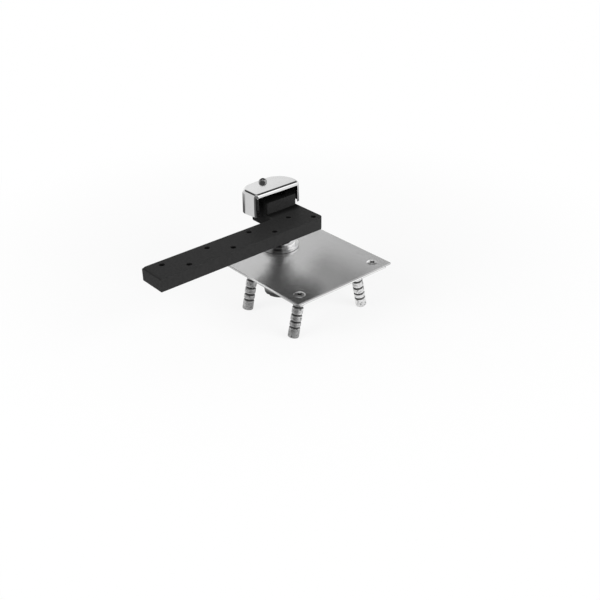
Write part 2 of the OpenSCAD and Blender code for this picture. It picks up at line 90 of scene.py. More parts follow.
class Sheet:
    """The node tree of a finish or of the world."""

    def __init__(self, tree):
        self.tree = tree
        tree.nodes.clear()

    def node(self, kind, settings=None, sockets=None, out=0):
        """Adds a node: its settings first, then values or wires on its sockets."""
        made = self.tree.nodes.new(kind)
        for key, value in (settings or {}).items():
            setattr(made, key, value)
        for key, value in (sockets or {}).items():
            if isinstance(value, Wire):
                self.tree.links.new(value.socket, made.inputs[key])
            else:
                made.inputs[key].default_value = value
        return Wire(self, made.outputs[out]) if len(made.outputs) else made

    def sum_of(self, operation, a, b):
        return self.node("ShaderNodeMath", {"operation": operation}, {0: a, 1: b})

    def kept(self, wire):
        """The wire held between 0 and 1."""
        return self.node("ShaderNodeClamp", {}, {0: wire})

    def between(self, wire, low, high):
        """0 where the wire is at low or under, 1 at high or over, smooth between."""
        return self.node("ShaderNodeMapRange", {"interpolation_type": "SMOOTHSTEP"},
                         {"Value": wire, "From Min": low, "From Max": high})

    def blend(self, share, a, b):
        """Colour a, turning into colour b with the share."""
        return self.node("ShaderNodeMix", {"data_type": "RGBA"}, {0: share, 6: a, 7: b}, out=2)

    def stretched(self, place, factors):
        return self.node("ShaderNodeVectorMath", {"operation": "MULTIPLY"}, {0: place, 1: factors})

    def grain(self, place, scale, detail=3.0, rough=0.5, lift=0.0):
        return self.node("ShaderNodeTexNoise", {"noise_dimensions": "3D"},
                         {"Vector": place, "Scale": scale, "Detail": detail, "Roughness": rough,
                          "Distortion": lift})


def grey(level):
    return (level, level, level, 1.0) if isinstance(level, (int, float)) else (*level, 1.0)


class Finish(Sheet):
    """A material: its sheet, its one shader and the place on the piece in millimetres."""

    def __init__(self, name, **fixed):
        self.material = bpy.data.materials.new(name)
        self.material.use_nodes = True
        super().__init__(self.material.node_tree)
        self.shader = self.tree.nodes.new("ShaderNodeBsdfPrincipled")
        end = self.tree.nodes.new("ShaderNodeOutputMaterial")
        self.tree.links.new(self.shader.outputs[0], end.inputs[0])
        for key, value in fixed.items():
            self.shader.inputs[key.replace("_", " ")].default_value = value
        place = self.node("ShaderNodeTexCoord", out="Object")
        self.place = self.node("ShaderNodeVectorMath", {"operation": "SCALE"}, {0: place, "Scale": 1 / MM})
        self.edge = self.node("ShaderNodeAttribute", {"attribute_name": "edge"}, out="Fac")

    def axes(self):
        parts = self.tree.nodes.new("ShaderNodeSeparateXYZ")
        self.tree.links.new(self.place.socket, parts.inputs[0])
        return [Wire(self, socket) for socket in parts.outputs]

    def radius(self):
        """Distance from the pivot axis, in millimetres."""
        x, y, _ = self.axes()
        return (x * x + y * y) ** 0.5

    def wear(self, colour=None, rough=None, metal=None):
        for key, wire in (("Base Color", colour), ("Roughness", rough), ("Metallic", metal)):
            if wire is not None:
                self.tree.links.new(wire.socket, self.shader.inputs[key])

    def relief(self, *layers):
        """Bump layers, each a height wire and its depth in millimetres."""
        normal = None
        for height, depth in layers:
            sockets = {"Height": height, "Distance": depth * MM, "Strength": 1.0}
            if normal:
                sockets["Normal"] = normal
            normal = self.node("ShaderNodeBump", {}, sockets)
        self.tree.links.new(normal.socket, self.shader.inputs["Normal"])


def span(node):
    """A node's lowest and highest corner in millimetres."""
    low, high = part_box(node)
    return low / MM, high / MM


# ---------------------------------------------------------------- finishes

# Places on the plate in millimetres, each as the start and end of a soft change.
SHEET_SIDE = (-0.40, -0.12)      # where the sheet's top turns into its side
SLANT, SLANT_START = 0.6, 10.8   # the painted dark reflection's edge runs aslant over the plate
# the places of the plate's painted dark reflection and painted bright streak
DARK_REFLECTION_X, DARK_REFLECTION_ACROSS = (0.0, 48.0), (-80.0, -46.0)
BRIGHT_STREAK_X, BRIGHT_STREAK_ACROSS, BRIGHT_STREAK_Y = (-34.0, -10.0), (-58.0, -36.0), (-40.0, -24.0)


def brushed_steel():
    """Sheet steel with long brush lines along the plate's Y, a painted dark reflection and a painted bright
    streak of reflection.
    """
    f = Finish("brushed_steel", Metallic=0.90)
    lines = f.grain(f.stretched(f.place, (5.5, 0.05, 1.0)), 1.0, 4.0, 0.65)
    broad = f.grain(f.stretched(f.place, (0.9, 0.018, 0.3)), 1.0, 2.0, 0.5)
    hazy = f.grain(f.place, 0.035, 3.0, 0.55)
    nicks = f.between(f.grain(f.stretched(f.place, (2.2, 0.35, 1.0)), 1.0, 5.0, 0.7), 0.70, 0.78)
    tone = f.kept(0.3 + 0.45 * lines + 0.35 * (broad - 0.5) + 0.5 * (hazy - 0.5) + 0.6 * f.edge)
    x, y, z = f.axes()
    side = 1.0 - f.between(z, *SHEET_SIDE)
    across = y - SLANT * x - SLANT_START
    painted_dark_reflection = (1.0 - f.between(x, *DARK_REFLECTION_X)) * (1.0 - f.between(across, *DARK_REFLECTION_ACROSS))
    painted_bright_streak = ((1.0 - f.between(x, *BRIGHT_STREAK_X)) * f.between(across, *BRIGHT_STREAK_ACROSS)
              * (1.0 - f.between(y, *BRIGHT_STREAK_Y)))
    # painted reflection: the tone is pulled dark over the front-left of the plate
    tone = f.kept(tone - 0.85 * painted_dark_reflection)
    colour = f.blend(side * 0.6, f.blend(tone, grey(0.36), grey(0.66)), grey(0.16))
    # painted reflection: a light streak on the plate beside the spindle's dark reflection
    colour = f.blend(painted_bright_streak * 0.8, colour, grey(0.84))
    f.wear(f.blend(nicks * 0.3, colour, grey(0.28)),
           0.20 + 0.08 * lines + 0.10 * (hazy - 0.3) - 0.04 * f.edge)
    f.relief((lines, 0.06), (broad, 0.030), (nicks, -0.004))
    return f.material


def plated_steel(name, dark, light, foot=None):
    """Rolled or pressed steel under a bright zinc coat, darker along its foot."""
    f = Finish(name, Metallic=1.0)
    crystals = f.grain(f.place, 0.45, 5.0, 0.6, 0.6)
    hazy = f.grain(f.place, 0.06, 3.0, 0.5)
    specks = f.between(f.grain(f.place, 2.6, 2.0, 0.5), 0.62, 0.72)
    tone = f.kept(0.25 + 0.4 * crystals + 0.5 * (hazy - 0.4) + 0.3 * f.edge)
    colour = f.blend(specks * 0.3, f.blend(tone, grey(dark), grey(light)), grey(0.4 * dark))
    if foot is not None:
        colour = f.blend((1.0 - f.between(f.axes()[2], foot, foot + 0.5)) * 0.7, colour, grey(0.10))
    f.wear(colour, 0.26 + 0.20 * crystals - 0.05 * f.edge)
    f.relief((crystals, 0.012), (specks, -0.012))
    return f.material


# the dark wedge painted on turned steel, as a painted reflection
WEDGE_HEADING = 224.0
WEDGE_SPREAD = (0.945, 0.985)    # cosines of the angle from the wedge's middle
WEDGE_SHARE = 0.7


def painted_reflection_wedge(f):
    """Wedge about the pivot axis where the turned rings are painted dark: a painted reflection."""
    a = math.radians(WEDGE_HEADING)
    flat = f.node("ShaderNodeVectorMath", {"operation": "NORMALIZE"},
                  {0: f.stretched(f.place, (1.0, 1.0, 0.0))})
    along = f.node("ShaderNodeVectorMath", {"operation": "DOT_PRODUCT"},
                   {0: flat, 1: (math.cos(a), math.sin(a), 0.0)}, out=1)
    return f.between(along, *WEDGE_SPREAD)


def ring_path(f):
    """Place along the radius and the pivot axis, so that grain turns into lathe rings."""
    return f.node("ShaderNodeCombineXYZ", {}, {0: f.radius(), 1: f.axes()[2], 2: 0.0})


def turned_steel(name, dark, light, rough):
    """Steel off the lathe: fine rings about the pivot axis, on faces and walls."""
    f = Finish(name, Metallic=1.0)
    path = ring_path(f)
    rings = f.grain(path, 4.5, 3.0, 0.6)
    bands = f.grain(path, 0.6, 2.0, 0.5)
    hazy = f.grain(f.place, 0.12, 3.0, 0.5)
    tone = f.kept(0.2 + 0.4 * rings + 0.4 * bands * hazy + 0.3 * f.edge)
    # painted reflection: the dark wedge about the axis
    f.wear(f.blend(painted_reflection_wedge(f) * WEDGE_SHARE, f.blend(tone, grey(dark), grey(light)), grey(0.06)),
           rough + 0.14 * rings + 0.08 * (hazy - 0.5))
    f.relief((rings, 0.012), (bands, 0.02))
    return f.material


# heights in millimetres: the matt body with its painted shade under the plates, its darker foot, and the
# dark joint at the plate
UNDER_PLATES, HOUSING_FOOT = (-4.0, -2.0), (-48.6, -47.0)
JOINT_LOW, JOINT_TOP = (-0.5, 0.0), (0.2, 0.7)


def housing_steel():
    """The bearing housing: bright turned flange, and a matt, stained body below the plates that is also
    painted darker as shade.
    """
    f = Finish("housing_steel", Metallic=1.0)
    z = f.axes()[2]
    rings = f.grain(ring_path(f), 4.5, 3.0, 0.6)
    stain = f.grain(f.place, 0.35, 4.0, 0.65, 0.5)
    under = 1.0 - f.between(z, *UNDER_PLATES)
    bright = f.blend(f.kept(0.2 + 0.7 * rings + 0.3 * f.edge), grey(0.60), grey(0.92))
    # below the plates: matt, stained steel, painted darker as the shade under the plates
    dull_and_shaded = f.blend(f.kept(1.6 * (stain - 0.32) + 0.3 * f.edge), grey(0.10), grey(0.40))
    # darker towards the foot
    dull_and_shaded = f.blend((1.0 - f.between(z, *HOUSING_FOOT)) * 0.8, dull_and_shaded, grey(0.05))
    # painted reflection: the dark wedge on the bright flange
    bright = f.blend(painted_reflection_wedge(f) * WEDGE_SHARE, bright, grey(0.06))
    joint = f.between(z, *JOINT_LOW) * (1.0 - f.between(z, *JOINT_TOP))
    f.wear(f.blend(joint * 0.85, f.blend(under, bright, dull_and_shaded), grey(0.02)), 0.24 + 0.14 * rings)
    f.relief((rings, 0.012), (stain, 0.05))
    return f.material


def anchor_steel():
    """Formed anchor leg: cast steel, darker in its grooves, with dark scale in blotches."""
    f = Finish("anchor_steel", Metallic=0.88)
    cloud = f.grain(f.place, 0.22, 4.0, 0.6)
    mottle = f.grain(f.place, 0.8, 4.0, 0.65, 0.4)
    streaks = f.grain(f.stretched(f.place, (1.6, 1.6, 0.25)), 1.0, 3.0, 0.6)
    scale = f.between(f.grain(f.place, 0.42, 3.0, 0.6, 0.8), 0.52, 0.66)
    low = f.node("ShaderNodeAttribute", {"attribute_name": "groove"}, out="Fac")
    dark = f.kept(low * (0.1 + 1.5 * mottle) + 0.7 * scale)
    tone = f.kept(0.1 + 0.5 * mottle + 0.5 * streaks + 0.4 * (cloud - 0.4) + 0.3 * f.edge)
    f.wear(f.blend(dark, f.blend(tone, grey(0.12), grey(0.70)), grey(0.03)),
           0.26 + 0.16 * mottle + 0.25 * dark)
    f.relief((mottle, 0.16), (streaks, 0.06), (scale, -0.06))
    return f.material


BAR_TOP = 12.4                   # the bar's top over the arm's underside
BAR_MIDDLE = 14.65               # the bar's middle behind its front face
BAR_HALF = 14.0
BORE_END = 0.6


def black_oxide():
    """The arm: matte black oxide over milled steel, worn a little lighter on its edges, with painted shade
    under the cap, in its bores and on its underside, and its faces painted lighter and darker by how the
    light falls.
    """
    f = Finish("black_oxide", Specular_IOR_Level=0.02)
    cloud = f.grain(f.place, 0.045, 4.0, 0.6)
    grit = f.grain(f.place, 1.6, 4.0, 0.65)
    passes = f.grain(f.stretched(f.place, (0.05, 1.4, 1.4)), 1.0, 3.0, 0.6)
    rub = f.kept(f.edge * (0.35 + 1.1 * f.grain(f.place, 0.5, 3.0, 0.6)))
    x, y, z = f.axes()
    low, high = span("arm")
    flats = f.between(z, low.z + BAR_TOP - 0.4, low.z + BAR_TOP - 0.1)
    # painted light and shade: the top faces are painted darker and the sides lighter towards +X
    tone = f.kept(0.25 + 0.5 * (cloud - 0.3) + 0.3 * grit + 0.25 * (passes - 0.5) - 0.45 * flats
                  + 0.5 * f.between(x, -60.0, 10.0) * (1.0 - flats))
    hollow = 1.0 - f.between(x, -25.5, -23.0)
    front = 1.0 - f.between(y, -13.5, -12.5)
    behind = f.between(y, -24.0, -16.0) * f.between(x, -34.0, -30.0)
    top = f.between(z, 57.4, 57.8)
    painted_shade = f.kept(behind * f.kept(hollow + front + top))  # painted shade under the cap, behind the door's face
    across = f.node("ShaderNodeMath", {"operation": "ABSOLUTE"}, {0: y - (low.y + BAR_MIDDLE)})
    along = f.node("ShaderNodeMath", {"operation": "ABSOLUTE"}, {0: x - (low.x + high.x) / 2})
    half_len = (high.x - low.x) / 2
    bore = ((1.0 - f.between(across, BAR_HALF, BAR_HALF + 0.3))
            * (1.0 - f.between(along, half_len - BORE_END, half_len - BORE_END + 0.2))
            * (1.0 - f.between(z, low.z + BAR_TOP - 1.2, low.z + BAR_TOP - 0.3)))
    # painted shade inside the bores and on the arm's underside
    painted_shade = f.kept(painted_shade + bore)
    black = f.blend(rub * 0.5, f.blend(tone, grey(0.0072), grey(0.0155)), grey(0.05))
    f.wear(f.blend(painted_shade * 0.75, black, grey(0.002)),
           f.kept(0.62 - 0.12 * passes + 0.12 * (grit - 0.5) - 0.10 * rub), 0.15 * rub)
    f.relief((grit, 0.035), (passes, 0.03))
    return f.material


def polished_chrome():
    """The cap: bright chrome with a trace of haze and a few wiping marks."""
    f = Finish("polished_chrome", Metallic=1.0)
    haze = f.grain(f.place, 0.07, 3.0, 0.5)
    wipes = f.between(f.grain(f.stretched(f.place, (0.5, 3.0, 1.2)), 1.0, 5.0, 0.7), 0.6, 0.8)
    dust = f.between(f.grain(f.place, 3.5, 2.0, 0.5), 0.66, 0.74)
    level = f.between(f.axes()[2], span("cap")[1].z - 0.35, span("cap")[1].z - 0.05)
    f.wear(f.blend(f.kept(0.3 * haze + 0.2 * wipes + 0.2 * dust), grey(0.70), grey(0.54)),
           f.kept(0.05 + 0.06 * haze + 0.10 * wipes + 0.1 * dust + 0.08 * level))
    f.relief((haze, 0.05), (wipes, 0.002))
    return f.material


def cap_inside():
    """The unpolished inside of the cap, painted near black as the shade inside the hood."""
    f = Finish("cap_inside", Metallic=0.7)
    cloud = f.grain(f.place, 0.25, 4.0, 0.6)
    grit = f.grain(f.place, 1.5, 4.0, 0.6)
    f.wear(f.blend(f.kept(0.5 * cloud + 0.5 * grit), grey(0.012), grey(0.05)), 0.5 + 0.2 * grit)
    f.relief((grit, 0.03))
    return f.material


def screw_steel(name, dark, light, metal):
    """Bright screw heads with fine scuffs round the driver's recess."""
    f = Finish(name, Metallic=metal)
    scuff = f.grain(f.place, 2.2, 5.0, 0.7, 0.5)
    haze = f.grain(f.place, 0.4, 3.0, 0.5)
    f.wear(f.blend(f.kept(0.3 + 0.5 * scuff + 0.4 * (haze - 0.5) + 0.3 * f.edge), grey(dark), grey(light)),
           f.kept(0.12 + 0.2 * scuff))
    f.relief((scuff, 0.012))
    return f.material


def seal_rubber():
    f = Finish("seal_rubber", Specular_IOR_Level=0.3)
    fine = f.grain(f.place, 3.0, 3.0, 0.6)
    dust = f.between(f.grain(f.place, 0.7, 4.0, 0.6), 0.5, 0.75)
    f.wear(f.blend(dust * 0.3, f.blend(fine, grey(0.006), grey(0.015)), grey(0.05)), 0.6 + 0.2 * fine)
    f.relief((fine, 0.03))
    return f.material


def bearing_bronze():
    f = Finish("bearing_bronze", Metallic=1.0)
    pores = f.between(f.grain(f.place, 2.8, 3.0, 0.6), 0.55, 0.68)
    cloud = f.grain(f.place, 0.3, 3.0, 0.5)
    base = f.blend(cloud, (0.42, 0.24, 0.09, 1), (0.60, 0.38, 0.16, 1))
    f.wear(f.blend(pores * 0.6, base, (0.16, 0.08, 0.03, 1)), 0.32 + 0.2 * pores)
    f.relief((pores, -0.02))
    return f.material


def dark_steel():
    """Blued or plain dark steel of the small hidden parts."""
    f = Finish("dark_steel", Metallic=0.8)
    mottle = f.grain(f.place, 1.2, 4.0, 0.6)
    cloud = f.grain(f.place, 0.3, 3.0, 0.5)
    tone = f.kept(0.6 * mottle + 0.4 * cloud + 0.3 * f.edge)
    f.wear(f.blend(tone, grey(0.03), grey(0.12)), 0.35 + 0.2 * mottle)
    f.relief((mottle, 0.015))
    return f.material


FINISH = {
    "floor_plate": brushed_steel(),
    "base_plate": plated_steel("bright_zinc", 0.50, 0.80, span("base_plate")[0].z + 0.3),
    "anchors": anchor_steel(),
    "housing": housing_steel(),
    "cover_ring": turned_steel("ring_steel", 0.72, 0.97, 0.24),
    "spindle": turned_steel("spindle_steel", 0.40, 0.64, 0.14),
    "races": turned_steel("race_steel", 0.34, 0.56, 0.12),
    "plate_screws": screw_steel("plate_screw_steel", 0.62, 0.96, 0.92),
    "cap_screw": screw_steel("cap_screw_steel", 0.10, 0.42, 1.0),
    "balls": screw_steel("ball_steel", 0.55, 0.68, 1.0),
    "nuts": plated_steel("dull_zinc", 0.26, 0.50),
    "arm": black_oxide(),
    "cap": polished_chrome(),
    "cap_inside": cap_inside(),
    "seal": seal_rubber(),
    "bushes": bearing_bronze(),
    "small_steel": dark_steel(),
}


# ---------------------------------------------------------------- mesh tools

def piece(name, bm, body, finish, nodes, smooth=35):
    """Turns a mesh into a piece that rides on a body and stands for CAD nodes."""
    bmesh.ops.recalc_face_normals(bm, faces=bm.faces)
    mesh = bpy.data.meshes.new(name)
    bm.to_mesh(mesh)
    bm.free()
    mesh.shade_smooth()
    mesh.set_sharp_from_angle(angle=math.radians(smooth))
    obj = bpy.data.objects.new(name, mesh)
    scene.collection.objects.link(obj)
    mesh.materials.append(FINISH[finish])
    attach(obj, body)
    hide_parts(*nodes)
    return obj


def even_shading(obj):
    obj.modifiers.new("even_shading", "WEIGHTED_NORMAL").keep_sharp = True
    return obj


def softened(node, width, segments=2, least=32):
    """A copy of a machined solid with every sharp edge rounded over."""
    bm = bmesh.new()
    bm.from_mesh(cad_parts[node].data)
    bmesh.ops.remove_doubles(bm, verts=bm.verts, dist=0.002 * MM)
    bmesh.ops.dissolve_limit(bm, angle_limit=math.radians(0.6), verts=bm.verts, edges=bm.edges)
    edge_mark = bm.verts.layers.float.new("edge")
    sharp = [e for e in bm.edges if len(e.link_faces) == 2
             and e.calc_face_angle(0) > math.radians(least)]
    made = bmesh.ops.bevel(bm, geom=sharp, offset=width * MM, offset_type="OFFSET", segments=segments,
                           profile=0.5, affect="EDGES", clamp_overlap=True)
    for v in made["verts"]:
        v[edge_mark] = 1.0
    return bm


def eased(outline, radius):
    """An open outline with each of its corners rounded: (r, z, edge) points in millimetres."""
    points = [(*outline[0], 0.0)]
    for before, here, after in zip(outline, outline[1:], outline[2:]):
        a, b, c = Vector(before), Vector(here), Vector(after)
        to_a, to_c = a - b, c - b
        if to_a.length < 1e-6 or to_c.length < 1e-6 or to_a.angle(to_c) > math.radians(165):
            points.append((*here, 0.0))
            continue
        near = min(radius, 0.45 * to_a.length, 0.45 * to_c.length)
        start, end = b + to_a.normalized() * near, b + to_c.normalized() * near
        for t in (0.0, 0.25, 0.5, 0.75, 1.0):
            spot = start * (1 - t) ** 2 + b * 2 * t * (1 - t) + end * t * t
            points.append((spot.x, spot.y, 1.0 - abs(2 * t - 1)))
    points.append((*outline[-1], 0.0))
    return points


def turned(outline, radius=0.4, steps=96):
    """Turns an outline of (r, z) points about the pivot axis."""
    bm = bmesh.new()
    edge_mark = bm.verts.layers.float.new("edge")
    rows = []
    for r, z, edge in eased(outline, radius):
        if r < 1e-6:
            row = [bm.verts.new((0, 0, z * MM))] * steps
        else:
            row = [bm.verts.new((r * MM * math.cos(2 * math.pi * i / steps),
                                 r * MM * math.sin(2 * math.pi * i / steps), z * MM)) for i in range(steps)]
        for v in set(row):
            v[edge_mark] = edge
        rows.append(row)
    for low, high in zip(rows, rows[1:]):
        for i in range(steps):
            j = (i + 1) % steps
            corners = []
            for v in (low[i], low[j], high[j], high[i]):
                if v not in corners:
                    corners.append(v)
            if len(corners) > 2:
                bm.faces.new(corners)
    return bm


# ---------------------------------------------------------------- cap

CAP_WALL = 1.2
CAP_EDGE = 3.2
CAP_FLARE = 0.3
CAP_FRONT_R = 3.5
CAP_BACK_R = 14.0
CAP_LIP = 3.8
CAP_FREE_H = 22.8
CAP_HEEL_H = 21.0
CAP_BACK_DROP = 2.8
CAP_FRONT_STEPS = 24
CAP_WALL_ROWS = 6
CAP_EDGE_STEPS = 7
CAP_RIM = 0.15


def cap_outline(inset):
    """The cap's plan as (x, y, in front) points, clockwise from the heel end of its front."""
    low, high = span("cap")
    round_r = high.x - CAP_FLARE
    left = low.x + CAP_FLARE
    front = low.y + CAP_FLARE
    heel_y = front + CAP_FRONT_R
    heel_x = math.sqrt((round_r - CAP_FRONT_R) ** 2 - heel_y ** 2)
    free_x = left + CAP_FRONT_R
    points = []
    for i in range(CAP_FRONT_STEPS + 1):
        points.append((heel_x + (free_x - heel_x) * i / CAP_FRONT_STEPS, front + inset, True))

    def corner(centre, r, start, end, steps):
        for i in range(1, steps + 1):
            a = math.radians(start + (end - start) * i / steps)
            points.append((centre[0] + (r - inset) * math.cos(a),
                           centre[1] + (r - inset) * math.sin(a), False))

    corner((free_x, heel_y), CAP_FRONT_R, 270, 180, 10)
    back = (left + CAP_BACK_R, round_r - CAP_BACK_R - 1)
    for i in range(1, 8):
        points.append((left + inset, heel_y + (back[1] - heel_y) * i / 8, False))
    lean = math.atan2(1.0, -back[0])
    top_a = 90 + math.degrees(lean)
    points.append((back[0] - (CAP_BACK_R - inset), back[1], False))
    corner(back, CAP_BACK_R, 180, top_a, 18)
    last = points[-1]
    turn = math.radians(top_a)
    arc_start = ((round_r - inset) * math.cos(turn), (round_r - inset) * math.sin(turn))
    for i in range(1, 7):
        t = i / 7
        points.append((last[0] + (arc_start[0] - last[0]) * t,
                       last[1] + (arc_start[1] - last[1]) * t, False))
    points.append((*arc_start, False))
    heel_a = math.degrees(math.atan2(heel_y, heel_x))
    corner((0, 0), round_r, top_a, heel_a, 36)
    corner((heel_x, heel_y), CAP_FRONT_R, heel_a, -90, 7)
    return points[:-1]


def cap_shell():
    """The hood: a rounded top, walls with a short lip over the open front, one thin sheet."""
    low, high = span("cap")
    bm = bmesh.new()
    edge_mark = bm.verts.layers.float.new("edge")
    rows = []
    for k in range(CAP_EDGE_STEPS + 1):
        a = math.radians(90 - 90 * k / CAP_EDGE_STEPS)
        inset = CAP_EDGE * (1 - math.cos(a))
        z = high.z - CAP_EDGE + CAP_EDGE * math.sin(a)
        rows.append([bm.verts.new((x * MM, y * MM, z * MM)) for x, y, _ in cap_outline(inset)])
    lip_z = high.z - CAP_LIP
    for z in (high.z - CAP_EDGE - 0.3, lip_z, *[None] * CAP_WALL_ROWS):
        share = len(rows) - CAP_EDGE_STEPS - 2
        row = []
        for x, y, _ in cap_outline(0):
            foot = (high.z - CAP_FREE_H + (CAP_FREE_H - CAP_HEEL_H) * (x - low.x) / (high.x - low.x)
                    - CAP_BACK_DROP * (y - low.y) / (high.y - low.y))
            level = z if z is not None else lip_z + (foot - lip_z) * share / CAP_WALL_ROWS
            flare = CAP_FLARE * (high.z - CAP_EDGE - level) / (high.z - CAP_EDGE - foot)
            row.append((x, y, level, flare))
        wide = cap_outline(-1)
        rows.append([bm.verts.new(((x + (wide[i][0] - x) * flare) * MM, (y + (wide[i][1] - y) * flare) * MM,
                                   level * MM)) for i, (x, y, level, flare) in enumerate(row)])
    front = [p[2] for p in cap_outline(0)]
    count = len(front)
    lip_row = CAP_EDGE_STEPS + 2
    for r, (upper, lower) in enumerate(zip(rows, rows[1:])):
        for i in range(count):
            j = (i + 1) % count
            if r >= lip_row and front[i] and front[j]:
                continue
            bm.faces.new((upper[i], upper[j], lower[j], lower[i]))
    bm.faces.new(rows[0])
    bmesh.ops.recalc_face_normals(bm, faces=bm.faces)
    shell = piece("cap_shell", bm, "door_arm", "cap", ["cap"], smooth=40)
    wall = shell.modifiers.new("wall", "SOLIDIFY")
    wall.thickness = CAP_WALL * MM
    wall.offset = -1
    wall.use_even_offset = True
    wall.material_offset = 1
    shell.data.materials.append(FINISH["cap_inside"])
    rim = shell.modifiers.new("rim", "BEVEL")
    rim.width = CAP_RIM * MM
    rim.segments = 2
    rim.limit_method = "ANGLE"
    rim.angle_limit = math.radians(50)
    return even_shading(shell)


cap_shell()


# ---------------------------------------------------------------- arm

even_shading(piece("arm_body", softened("arm", 0.35), "door_arm", "arm", ["arm"]))


# ---------------------------------------------------------------- plates and screws

even_shading(piece("floor_sheet", softened("floor_plate", 0.25), "base", "floor_plate",
                   ["floor_plate"]))
even_shading(piece("base_sheet", softened("base_plate", 0.35), "base", "base_plate",
                   ["base_plate"]))

CROWN = 0.55
CROWN_RINGS = (0.97, 0.9, 0.8, 0.65, 0.45, 0.2, 0.0)
SHANK_R, NECK_Z, RIM_Z = 2.75, -3.53, -0.25
SLOT_LEN, SLOT_W, SLOT_DEPTH = 6.2, 1.55, 1.8
POCKET_R, POCKET_FOOT_R, POCKET_DEPTH = 1.75, 0.9, 1.9


def cutter(name, bm, middle):
    """A solid that is only used to cut a recess, standing over a screw's centre."""
    bmesh.ops.translate(bm, verts=bm.verts, vec=(middle.x * MM, middle.y * MM, 0))
    bmesh.ops.recalc_face_normals(bm, faces=bm.faces)
    mesh = bpy.data.meshes.new(name)
    bm.to_mesh(mesh)
    bm.free()
    obj = bpy.data.objects.new(name, mesh)
    scene.collection.objects.link(obj)
    return obj


def slot_solid(length, width, low, high):
    bm = bmesh.new()
    bmesh.ops.create_cube(bm, size=1.0)
    for v in bm.verts:
        v.co = Vector((v.co.x * length, v.co.y * width, low if v.co.z < 0 else high)) * MM
    return bm


def screw_head(corner):
    """Countersunk screw: crowned head, worn cross recess opened out to a round pocket."""
    node = "screw_" + corner
    low, high = span(node)
    middle = (low + high) / 2
    head_r = (high.x - low.x) / 2
    crown = [(share * head_r, high.z + CROWN * (1 - share ** 4)) for share in CROWN_RINGS]
    below = [(0.0, low.z), (SHANK_R, low.z), (SHANK_R, NECK_Z), (head_r, RIM_Z), (head_r, high.z)]
    bm = turned(below + crown, 0.12, 64)
    bmesh.ops.translate(bm, verts=bm.verts, vec=(middle.x * MM, middle.y * MM, 0))
    head = piece("head_" + corner, bm, "base", "plate_screws", [node], smooth=30)
    deep, over = high.z - POCKET_DEPTH, high.z + 1.0
    pocket = turned([(0.0, deep), (POCKET_FOOT_R, deep), (POCKET_R, high.z + 0.3),
                     (POCKET_R + 0.3, over), (0.0, over)], 0.1, 40)
    tools = [cutter("pocket", pocket, middle)]
    for length, width in ((SLOT_LEN, SLOT_W), (SLOT_W, SLOT_LEN)):
        tools.append(cutter("slot", slot_solid(length, width, high.z - SLOT_DEPTH, over), middle))
    for tool in tools:
        cut = head.modifiers.new("recess", "BOOLEAN")
        cut.operation, cut.solver, cut.object = "DIFFERENCE", "EXACT", tool
    bpy.context.view_layer.update()
    done = bpy.data.meshes.new_from_object(head.evaluated_get(bpy.context.evaluated_depsgraph_get()))
    head.modifiers.clear()
    head.data = done
    for tool in tools:
        bpy.data.objects.remove(tool)
    even_shading(head)


CORNERS = ("front", "right", "back", "left")
for corner in CORNERS:
    screw_head(corner)
even_shading(piece("dome_screw", softened("cap_screw", 0.15), "door_arm", "cap_screw",
                   ["cap_screw"]))
even_shading(piece("nut_upper", softened("lift_nut", 0.2), "door_arm", "nuts", ["lift_nut"]))
even_shading(piece("nut_lower", softened("jam_nut", 0.2), "door_arm", "nuts", ["jam_nut"]))


# ---------------------------------------------------------------- anchors

ANCHOR_R = 5.5
ANCHOR_LEN = 49.0
ANCHOR_LEAN = 12.4
ANCHOR_FOOT = 11.0
GROOVES = 5
GROOVE_PITCH = 6.0
GROOVE_STEP = 1.1
GROOVE_DEPTH = 1.1
GROOVE_W = 2.2
FOOT_R = 1.2
STEPS, ROWS = 48, 190
WOBBLE = 0.07


